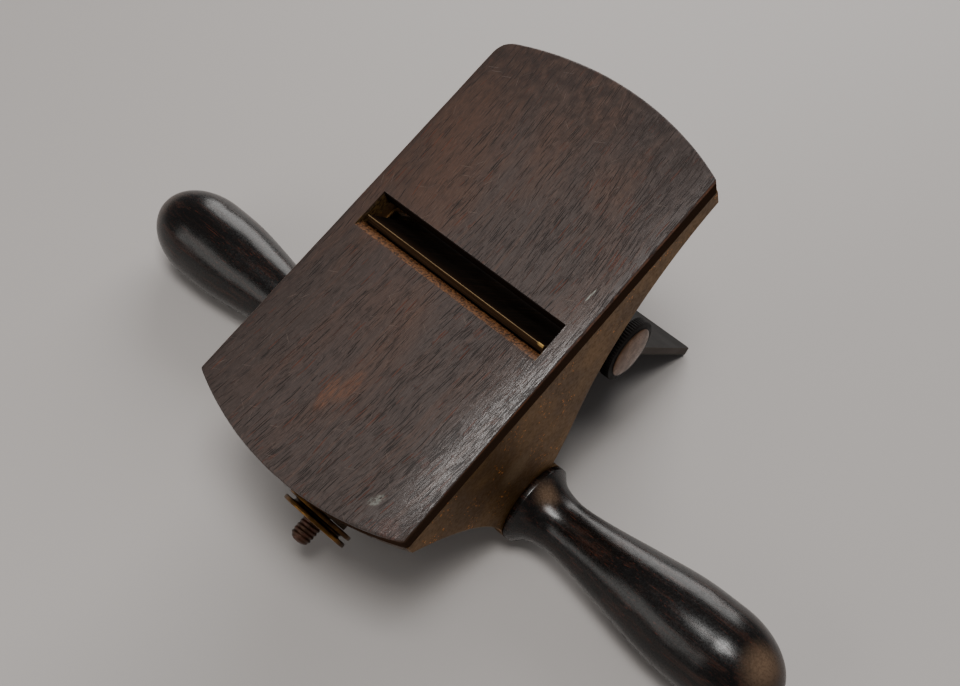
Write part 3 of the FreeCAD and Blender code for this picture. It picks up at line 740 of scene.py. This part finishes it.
class Grain:
    """The noises of the sole's wood. Its lines run along the sole and bend and wander a little."""

    def __init__(self, paint):
        drift = paint.noise(paint.stretched(0.03, 0.02, 0.03), 2.0, 0.5)
        bend = paint.product(paint.y, paint.y, 0.001)
        across = paint.add(paint.x, bend, paint.product(paint.z, 0.7), paint.product(drift, 7.0))
        self.paint = paint
        self.lines = paint.combined(across, paint.y, 0.0)
        self.zone = self.along(0.045, 0.016, 3.0, 0.5, 0.4)
        self.band = self.along(0.8, 0.016, 4.0, 0.55, 0.3)
        self.fibre = self.along(3.4, 0.10, 5.0, 0.6, 0.2)
        self.fine = self.along(5.5, 0.28, 5.0, 0.75, 0.2)
        self.crowd = self.along(0.16, 0.05, 3.0, 0.6, 0.0, (6.0, 2.0, 0.0))
        self.mottle = paint.noise(paint.stretched(0.35, 0.28, 0.3), 4.0, 0.6)

    def along(self, across, length, detail, roughness, distortion, shift=(0, 0, 0)):
        """A noise drawn out along the grain: its scales across the lines and along them."""
        place = self.paint.stretched(across, length, 1.0, 0.0, shift, self.lines)
        return self.paint.noise(place, detail, roughness, distortion)


def wood_ground(paint, grain):
    """The wood's colours: warm to the left and towards +Y, with darker bands, fibres and clouds, painted
    shade that darkens it towards the left, and pale fine streaks that are partly grain and partly painted
    glints.
    """
    warm = paint.add(paint.spread(grain.zone, 0.36, 0.64, 0.0, 0.7),
                     paint.add(paint.product(paint.x, -0.009), paint.product(paint.y, 0.005)))
    color = paint.mix(paint.spread(warm, 0.1, 0.9), WOOD_GREY, WOOD_BROWN)
    for share, tint in ((paint.spread(grain.band, 0.52, 0.68, 0.0, 0.28), WOOD_WARM),
                        (paint.spread(grain.band, 0.48, 0.32, 0.0, 0.35), WOOD_DARK),
                        (paint.spread(grain.fibre, 0.52, 0.36, 0.0, 0.42), WOOD_DARK),
                        # painted shade: darker towards the left-hand side
                        (paint.spread(paint.x, -8.0, -36.0, 0.0, 0.36), WOOD_DARK),
                        # pale fine streaks: partly grain, partly painted glints
                        (paint.spread(grain.fine, 0.54, 0.68, 0.0, 0.42), WOOD_LIGHT),
                        (paint.spread(grain.fine, 0.47, 0.33, 0.0, 0.60), WOOD_DARK),
                        (paint.spread(grain.mottle, 0.50, 0.68, 0.0, 0.30), WOOD_DARK)):
        color = paint.mix(share, color, tint)
    return color


def wood_pores(paint, grain):
    """Masks long, short and thin pores, denser to the right and in crowds. Also gives their colour."""
    share = paint.product(paint.spread(paint.x, -25.0, 22.0, 0.30, 0.60),
                          paint.spread(grain.crowd, 0.35, 0.65, 0.35, 1.3))
    long_pore, long_kind = paint.dashes(grain.lines, 1.9, 0.070, 0.26, share)
    short_pore, short_kind = paint.dashes(grain.lines, 2.8, 0.15, 0.29, share, 5.0, (11.0, 3.0, 0.0))
    thin_pore = paint.dashes(grain.lines, 4.2, 0.30, 0.33, share, -4.0, (5.0, 13.0, 0.0))[0]
    pores = paint.most(long_pore, paint.product(short_pore, 0.8), paint.product(thin_pore, 0.45))
    kind = paint.most(paint.product(long_kind, long_pore), paint.product(short_kind, short_pore))
    return pores, paint.mix(paint.spread(kind, 0.80, 0.90), WOOD_PORE_AND_SHADOW, WOOD_RED)


def wood_edges(paint, grain, color):
    """Darkens the edges, the +Y end and the side strip, and warms its upper edge. Also gives its mask."""
    edge_x = paint.math("SUBTRACT", HALF_WIDTH, paint.math("ABSOLUTE", paint.x))
    color = paint.mix(paint.spread(edge_x, 2.6, 0.2, 0.0, 0.35), color, WOOD_DARK)
    handled = paint.product(paint.spread(paint.y, 34.0, 66.0, 0.0, 0.75),
                            paint.spread(grain.mottle, 0.32, 0.62, 0.2, 1.0))
    color = paint.mix(handled, color, WOOD_DARK)
    flank = paint.spread(edge_x, 0.30, 0.12)
    side = paint.most(paint.product(flank, paint.spread(paint.z, -0.6, -1.3)),
                      paint.spread(paint.z, -1.2, -1.6))
    color = paint.mix(paint.product(side, 0.9), color, WOOD_SIDE)
    arris = paint.product(flank, paint.spread(paint.z, -1.5, -1.1),
                          paint.spread(grain.mottle, 0.38, 0.62, 0.05, 0.55))
    return paint.mix(arris, color, WOOD_ORANGE), side


def mouth_wood(paint, color):
    """Raw wood on the mouth's walls and its worn bevel, olive on the end walls, with painted shade that
    darkens it with depth and a painted near-black shadow on the front wall. Also gives the mask and the
    wood's noise.
    """
    across = paint.math("ABSOLUTE", paint.x)
    behind = paint.spread(paint.y, MOUTH_BACK - 0.25, MOUTH_BACK + 0.15)
    before = paint.spread(paint.y, MOUTH_FRONT + 0.1, MOUTH_FRONT - 0.05)
    inside = paint.product(behind, before, paint.spread(across, MOUTH_HALF + 0.25, MOUTH_HALF - 0.05))
    walls = paint.product(inside, paint.spread(paint.z, -0.12, -0.3))
    bevel = paint.product(inside, paint.spread(paint.y, 0.0, -3.0))
    rough_wood = paint.noise(paint.stretched(1.6, 0.8, 1.6), 5.0, 0.7)
    light = paint.spread(rough_wood, 0.38, 0.62)
    raw_and_shaded = paint.mix(light, MOUTH_DARK, MOUTH_LIGHT)
    # painted shade: the mouth's walls darken with depth
    raw_and_shaded = paint.mix(paint.spread(paint.z, -1.2, -2.8, 0.0, 0.8), raw_and_shaded, MOUTH_DARK)
    end_wall = paint.spread(across, MOUTH_HALF - 0.25, MOUTH_HALF - 0.1)
    raw_and_shaded = paint.mix(end_wall, raw_and_shaded, paint.mix(light, MOUTH_DARK, MOUTH_END))
    # painted shadow: the front wall is made near-black in the pore colour
    front_wall = paint.spread(paint.y, MOUTH_FRONT - 0.5, MOUTH_FRONT - 0.3)
    raw_and_shaded = paint.mix(paint.product(front_wall, 0.95), raw_and_shaded, WOOD_PORE_AND_SHADOW)
    return paint.mix(paint.most(walls, bevel), color, raw_and_shaded), inside, rough_wood


def wood_scratches(paint):
    """Fine light scratches in four directions."""
    marks = []
    for turn, shift, share in SCRATCHES:
        scratch, depth = paint.dashes(paint.point, 0.75, 0.03, 0.055, share, turn, shift)
        marks.append(paint.product(scratch, paint.spread(depth, 0.0, 1.0, 0.3, 1.0)))
    return paint.most(*marks)


def sole_wood():
    """Dark rosewood: open grain, stains and scratches, bare wood with painted shade in the mouth, and
    polished at its right.
    """
    paint = Paint("sole_wood")
    grain = Grain(paint)
    color = wood_ground(paint, grain)
    pores, pore_color = wood_pores(paint, grain)
    color = paint.mix(paint.product(pores, 0.92), color, pore_color)
    streaks = paint.spread(grain.fine, 0.44, 0.58, 0.0, 1.0)
    for x, y, wide, long, turn, strength, tint in STAINS:
        color = paint.mix(paint.product(paint.spot(x, y, wide, long, turn), streaks, strength), color, tint)
    color, side = wood_edges(paint, grain, color)
    color, inside, rough_wood = mouth_wood(paint, color)
    scratches = paint.product(wood_scratches(paint), paint.spread(side, 1.0, 0.0))
    color = paint.mix(paint.product(scratches, 0.30), color, WOOD_SCRATCH)
    blot = paint.noise(paint.stretched(1.4, 0.8, 1.4, PALE_MARK_TURN), 5.0, 0.75)
    pale = paint.product(paint.spot(25.5, -58.5, 1.5, 2.9, PALE_MARK_TURN),
                         paint.spread(blot, 0.40, 0.62), 0.42)
    # a painted glint: a thin pale streak near the right-hand edge, in the pale mark's colour, stands in for
    # a highlight
    glint = paint.product(paint.spot(32.8, 17.0, 0.3, 2.6, 4.0), paint.spread(grain.fine, 0.42, 0.52), 0.75)
    color = paint.mix(paint.most(pale, glint), color, WOOD_MARK_AND_GLINT)
    polish = paint.product(paint.spread(paint.x, 22.0, 33.0), paint.spread(paint.y, 30.0, -15.0, 0.1, 1.0))
    matte = paint.spread(grain.fibre, 0.35, 0.65, 0.50, 0.40)
    rough = paint.math("SUBTRACT", matte, paint.product(polish, 0.19))
    rough = paint.add(rough, paint.product(pores, 0.2), paint.product(inside, 0.25))
    relief = paint.add(paint.product(grain.fibre, 0.5), paint.product(grain.mottle, 0.4))
    relief = paint.add(paint.math("SUBTRACT", relief, pores), paint.product(grain.fine, 0.5),
                       paint.product(rough_wood, inside, 2.5))
    normal = paint.bump(relief, 0.7, 0.09)
    normal = paint.bump(paint.product(scratches, -1.0), 0.6, 0.06, normal)
    uneven = paint.spread(grain.fine, 0.38, 0.60, 0.25, 1.0)
    shine = paint.add(paint.product(polish, uneven, 0.28), 0.34)
    shine = paint.product(shine, paint.spread(side, 0.0, 1.0, 1.0, 0.0))
    paint.join(shine, paint.shader.inputs["Specular IOR Level"])
    return paint.finish(color, rough, normal)


def bronze(name, light=BRONZE_LIGHT, dark=BRONZE_DARK):
    """Dull cast bronze on CAD nodes: cloudy, with stains, a few orange specks, one pale haze and painted
    shade at the -Y end by the nut.
    """
    paint = Paint(name, cad=True)
    cloud = paint.noise(paint.stretched(0.07, 0.07, 0.07), 4.0, 0.6, 0.3)
    fine = paint.noise(paint.stretched(0.9, 0.9, 0.9), 5.0, 0.65)
    color = paint.mix(paint.spread(cloud, 0.35, 0.65), dark, light)
    color = paint.mix(paint.spread(fine, 0.45, 0.7, 0.0, 0.45), color, BRONZE_STAIN)
    speck = paint.noise(paint.stretched(1.3, 1.3, 1.3, 0.0, (4.0, 2.0, 8.0)), 2.0, 0.6)
    speck_area = paint.noise(paint.stretched(0.1, 0.1, 0.1, 0.0, (2.0, 7.0, 1.0)), 2.0)
    specks = paint.product(paint.spread(speck, 0.635, 0.665), paint.spread(speck_area, 0.52, 0.57))
    color = paint.mix(specks, color, BRONZE_SPECK)
    color = paint.mix(paint.spread(paint.far_from(HAZE_PLACE), 7.5, 2.0, 0.0, 0.3), color, BRONZE_HAZE)
    # painted shade: the casting is darkened at its -Y end by the nut, away from the cheeks' outer faces
    inward = paint.spread(paint.math("ABSOLUTE", paint.x), HALF_WIDTH - 0.4, HALF_WIDTH - 0.8)
    by_nut = paint.product(paint.spread(paint.y, -61.0, -63.0), inward)
    color = paint.mix(paint.product(by_nut, 0.75), color, INNER_DARK)
    rough = paint.spread(fine, 0.3, 0.7, 0.46, 0.60)
    brushed = paint.noise(paint.stretched(0.5, 5.0, 5.0), 3.0, 0.6)
    normal = paint.bump(paint.add(fine, paint.product(brushed, 0.6)), 0.16, 0.08)
    return paint.finish(color, rough, normal, Metallic=0.85)


def ebony():
    """Polished near-black wood with reddish streaks shown mostly on its upper side as painted light,
    rougher at its tips under a painted pale highlight, and with painted highlights in two places.
    """
    paint = Paint("handle_ebony")
    streak = paint.noise(paint.stretched(0.022, 0.6, 0.6), 5.0, 0.6, 0.3)
    hair = paint.noise(paint.stretched(0.07, 3.2, 3.2), 4.0, 0.6, 0.2)
    # painted light: the brown and red streaks show mostly on the upper side and fade towards the underside
    above = paint.spread(paint.z, HANDLE_Z - 4.0, HANDLE_Z + 9.0, 0.15, 1.0)
    color = paint.mix(paint.product(paint.spread(streak, 0.48, 0.68), above), EBONY_DARK, EBONY_BROWN)
    color = paint.mix(paint.product(paint.spread(hair, 0.60, 0.70), above, 0.7), color, EBONY_RED)
    color = paint.mix(paint.spread(hair, 0.48, 0.36, 0.0, 0.7), color, EBONY_PORE)
    from_middle = paint.math("ABSOLUTE", paint.x)
    # painted highlight: pale brown towards the handle ends; the same mask also makes them rougher
    tip = paint.spread(from_middle, HANDLE_END - 11.0, HANDLE_END - 3.0, 0.0, 0.5)
    color = paint.mix(tip, color, EBONY_TIP)
    dust = paint.noise(paint.stretched(1.4, 1.4, 1.4, 0.0, (9.0, 4.0, 2.0)), 6.0, 0.75)
    # painted highlights: two pale spots on top of the right handle, at the flare and near the end, broken
    # up by the dust noise
    for x, radius in ((FLARE_X, 5.6), (TIP_X, 8.8)):
        painted_highlight = paint.spread(paint.far_from((x, HIGHLIGHT_Y, HIGHLIGHT_Z)), radius, 0.5)
        painted_highlight = paint.product(painted_highlight, paint.spread(dust, 0.3, 0.6, 0.5, 0.95))
        color = paint.mix(painted_highlight, color, EBONY_HIGHLIGHT)
    rough = paint.add(paint.spread(dust, 0.35, 0.7, 0.20, 0.34), paint.product(tip, 0.12))
    pits = paint.noise(paint.stretched(0.9, 2.2, 2.2, 0.0, (1.0, 4.0, 2.0)), 5.0, 0.7)
    slow = paint.noise(paint.stretched(0.06, 0.12, 0.12, 0.0, (1.0, 4.0, 2.0)), 2.0, 0.5)
    relief = paint.add(paint.product(pits, 0.35), paint.product(hair, 0.3))
    normal = paint.bump(slow, 0.25, 1.2)
    normal = paint.bump(relief, 0.16, 0.2, normal)
    return paint.finish(color, rough, normal, Specular_IOR_Level=0.38)


def dark_steel():
    """Dull dark steel on CAD nodes, with faint turning lines."""
    paint = Paint("dark_steel", cad=True)
    cloud = paint.noise(paint.stretched(0.09, 0.09, 0.09), 4.0, 0.6)
    lines = paint.noise(paint.stretched(0.15, 6.0, 6.0), 4.0, 0.6)
    color = paint.mix(paint.spread(cloud, 0.35, 0.65), STEEL_DARK, STEEL_LIGHT)
    color = paint.mix(paint.spread(lines, 0.5, 0.75, 0.0, 0.4), color, STEEL_DARK)
    rough = paint.spread(cloud, 0.3, 0.7, 0.3, 0.5)
    normal = paint.bump(lines, 0.2, 0.05)
    return paint.finish(color, rough, normal, Metallic=1.0)


def blade_steel():
    """Dark front and back, grinding lines along the bevel, and a bright line at the edge."""
    paint = Paint("blade_steel")
    up = paint.dot((0.0, LEAN_SIN, -LEAN_COS), -LEAN_SIN * EDGE_Y - LEAN_COS * EDGE_DEPTH)
    out = paint.dot((0.0, LEAN_COS, LEAN_SIN), -LEAN_COS * EDGE_Y + LEAN_SIN * EDGE_DEPTH)
    cloud = paint.noise(paint.stretched(0.10, 0.10, 0.10), 4.0, 0.6)
    lines = paint.noise(paint.stretched(0.05, 7.0, 7.0), 4.0, 0.65)
    streaks = paint.noise(paint.stretched(1.6, 0.05, 0.05), 3.0, 0.6)
    color = paint.mix(paint.spread(cloud, 0.35, 0.65), BLADE_DARK, BLADE_MIDDLE)
    color = paint.mix(paint.spread(streaks, 0.5, 0.68, 0.0, 0.35), color, BLADE_BROWN)
    near_edge = paint.product(paint.spread(up, 9.0, 0.5), paint.spread(paint.x, 20.0, -20.0, 0.4, 1.0))
    color = paint.mix(paint.product(near_edge, 0.7), color, BLADE_BROWN)
    flank = paint.spread(paint.math("ABSOLUTE", paint.x), BLADE_WIDTH / 2 - 0.14, BLADE_WIDTH / 2 - 0.05)
    color = paint.mix(flank, color, BLADE_SIDE)
    ground = paint.product(paint.spread(out, -0.04, -0.14),
                           paint.spread(up, BLADE_THICK + 0.15, BLADE_THICK - 0.05))
    grind = paint.mix(paint.spread(lines, 0.38, 0.62), BEVEL_DARK, BEVEL_LIGHT)
    color = paint.mix(ground, color, grind)
    edge = paint.product(paint.spread(up, 0.24, 0.12), paint.spread(cloud, 0.3, 0.6, 0.55, 1.0))
    color = paint.mix(edge, color, EDGE_BRIGHT)
    burr = paint.product(paint.spread(paint.x, BLADE_WIDTH / 2 - 2.2, BLADE_WIDTH / 2 - 1.2),
                         paint.spread(up, 1.1, 0.5))
    color = paint.mix(burr, color, BURR_BRASS)
    rough = paint.spread(cloud, 0.3, 0.7, 0.58, 0.68)
    normal = paint.bump(paint.add(lines, paint.product(streaks, 0.5)), 0.25, 0.05)
    paint.join(paint.product(edge, 0.8), paint.shader.inputs["Metallic"])
    paint.join(paint.spread(up, 25.0, 60.0, 0.0, 0.15), paint.shader.inputs["Specular IOR Level"])
    return paint.finish(color, rough, normal)


def rusty_rod():
    """Brown steel, rusty where it isn't bare."""
    paint = Paint("rod_steel")
    cloud = paint.noise(paint.stretched(0.5, 0.5, 0.5), 6.0, 0.7)
    color = paint.mix(paint.spread(cloud, 0.42, 0.62), ROD_BROWN, ROD_RUST)
    metal = paint.spread(cloud, 0.62, 0.40, 0.3, 0.8)
    paint.join(metal, paint.shader.inputs["Metallic"])
    rough = paint.spread(cloud, 0.4, 0.65, 0.34, 0.58)
    normal = paint.bump(cloud, 0.35, 0.1)
    return paint.finish(color, rough, normal)


def nut_brass():
    """Tarnished turned brass, with painted shade in the groove between the rims."""
    paint = Paint("nut_brass")
    cloud = paint.noise(paint.stretched(0.25, 0.25, 0.25), 5.0, 0.65)
    rings = paint.noise(paint.stretched(0.3, 9.0, 0.3), 3.0, 0.6)
    color = paint.mix(paint.spread(cloud, 0.38, 0.64), NUT_LIGHT, NUT_DARK)
    up = paint.math("SUBTRACT", paint.z, ROD_Z)
    from_axis = paint.math("SQRT", paint.add(paint.product(paint.x, paint.x), paint.product(up, up)))
    # painted shade in the groove between the rims
    groove = paint.spread(from_axis, NUT_HUB_R + 1.4, NUT_HUB_R + 0.1, 0.0, 0.85)
    color = paint.mix(groove, color, NUT_GROOVE_SHADE)
    rough = paint.spread(cloud, 0.35, 0.65, 0.28, 0.46)
    normal = paint.bump(rings, 0.2, 0.05)
    return paint.finish(color, rough, normal, Metallic=1.0)


def knob_metal():
    """A tan-brown polished face on a dark rim."""
    paint = Paint("knob_metal")
    cloud = paint.noise(paint.stretched(0.3, 0.3, 0.3), 5.0, 0.65)
    step = KNOB_HIGH.x / MM - KNOB_FACE_RISE
    rim = paint.spread(paint.x, step + 0.45, step + 0.2)
    face = paint.mix(paint.spread(cloud, 0.35, 0.65), KNOB_LIGHT, KNOB_BROWN)
    color = paint.mix(rim, face, KNOB_RIM)
    rough = paint.add(paint.spread(cloud, 0.35, 0.65, 0.24, 0.38), paint.product(rim, 0.3))
    normal = paint.bump(cloud, 0.1, 0.1)
    paint.join(paint.spread(rim, 0.0, 1.0, 0.9, 0.0), paint.shader.inputs["Metallic"])
    return paint.finish(color, rough, normal, Specular_IOR_Level=0.1)


# ---------------------------------------------------------------- CAD nodes that stay

def dress(node, material, bevel=0.0):
    """Gives a CAD node its material and soft edges."""
    obj = frame["nodes"][node]
    for slot in obj.material_slots:
        slot.material = material
    merge = obj.modifiers.new("weld", "WELD")
    merge.merge_threshold = 0.002 * MM
    if bevel:
        edge = obj.modifiers.new("soft_edges", "BEVEL")
        edge.width = bevel * MM
        edge.segments = 2
        edge.limit_method = "ANGLE"
        edge.angle_limit = math.radians(40)


# ---------------------------------------------------------------- stage

CAMERA_TARGET = (0.01939, -0.02024, 0.080)
CAMERA_DISTANCE = 0.34995
CAMERA_AZIMUTH = 38.509
CAMERA_ELEVATION = 51.970
CAMERA_ROLL = 5.451
CAMERA_LENS = 51.104
FLOOR_SIZE = 12.0
WORLD_LIGHT = 0.16


def make_camera():
    """A camera above and to the right of the tool's -Y end, rolled a little."""
    azimuth = math.radians(CAMERA_AZIMUTH)
    elevation = math.radians(CAMERA_ELEVATION)
    forward = Vector((-math.sin(azimuth) * math.cos(elevation), math.cos(azimuth) * math.cos(elevation),
                      -math.sin(elevation)))
    data = bpy.data.cameras.new("camera")
    data.lens = CAMERA_LENS
    data.clip_start = 0.01
    camera = bpy.data.objects.new("camera", data)
    camera.rotation_mode = "QUATERNION"
    level = forward.to_track_quat("-Z", "Y")
    camera.rotation_quaternion = level @ Quaternion((0, 0, 1), math.radians(CAMERA_ROLL))
    camera.location = Vector(CAMERA_TARGET) - forward * CAMERA_DISTANCE
    bpy.context.scene.collection.objects.link(camera)
    bpy.context.scene.camera = camera


def make_floor():
    """A plain pale floor at z = 0, far wider than the view."""
    bm = bmesh.new()
    bmesh.ops.create_grid(bm, x_segments=2, y_segments=2, size=FLOOR_SIZE)
    mesh = bpy.data.meshes.new("floor")
    bm.to_mesh(mesh)
    bm.free()
    floor = bpy.data.objects.new("floor", mesh)
    bpy.context.scene.collection.objects.link(floor)
    material = bpy.data.materials.new("floor")
    material.use_nodes = True
    shader = material.node_tree.nodes["Principled BSDF"]
    shader.inputs["Base Color"].default_value = FLOOR_PALE
    shader.inputs["Roughness"].default_value = 0.6
    mesh.materials.append(material)


def make_lamp(name, place, target, size, power, color):
    """A rectangular area lamp aimed at a target."""
    data = bpy.data.lights.new(name, "AREA")
    data.shape = "RECTANGLE"
    data.size, data.size_y = size
    data.energy = power
    data.color = color
    lamp = bpy.data.objects.new(name, data)
    lamp.location = place
    lamp.rotation_mode = "QUATERNION"
    lamp.rotation_quaternion = (Vector(target) - Vector(place)).to_track_quat("-Z", "Y")
    bpy.context.scene.collection.objects.link(lamp)


def make_lights():
    """A dim even world, a broad lamp behind, a small one above and a broad weak one in front."""
    world = bpy.data.worlds.new("studio")
    bpy.context.scene.world = world
    world.use_nodes = True
    background = world.node_tree.nodes["Background"]
    background.inputs["Color"].default_value = (0.88, 0.88, 0.9, 1)
    background.inputs["Strength"].default_value = WORLD_LIGHT
    make_lamp("back", (-0.46, 0.96, 0.56), (0, 0, 0.04), (1.0, 0.7), 10.5, (1.0, 0.98, 0.96))
    make_lamp("top", (0.14, -0.18, 0.98), (0, 0, 0.06), (0.32, 0.32), 6.0, (1.0, 0.99, 0.97))
    make_lamp("front", (-0.45, -0.95, 0.5), (0, 0, 0.03), (0.9, 0.6), 3.5, (1.0, 0.97, 0.93))


# ---------------------------------------------------------------- the whole

WOOD = sole_wood()
CASTING = bronze("cast_bronze")
# a darker copy of the cast bronze for the pieces inside the body: painted shade
INNER = bronze("shaded_bronze", INNER_LIGHT, INNER_DARK)
EBONY = ebony()
DARK_STEEL = dark_steel()
BRASS = bronze("insert_brass")

build_sole(WOOD)
build_handle(1, EBONY)
build_handle(-1, EBONY)
build_rod(rusty_rod())
NUT = nut_brass()
build_nut("outer_nut", POST_FAR - NUT_GAP - 2 * NUT_RIM - NUT_GROOVE, "outer_nut", NUT)
build_nut("inner_nut", POST_NEAR + NUT_GAP, "inner_nut", NUT)
build_knob(knob_metal())
build_blade(blade_steel())

dress("body_casting", CASTING, 0.35)
dress("handle_spacer", INNER, 0.2)
dress("blade_carrier", INNER, 0.3)
dress("rod_eye", BRASS, 0.25)
dress("bar_collar", BRASS, 0.2)
dress("handle_insert_right", BRASS)
dress("handle_insert_left", BRASS)
for name in ("sole_screws", "pivot_rod", "handle_rod", "clamp_bar", "collar_screw", "rod_pin"):
    dress(name, DARK_STEEL, 0.1)

make_floor()
make_lights()
make_camera()
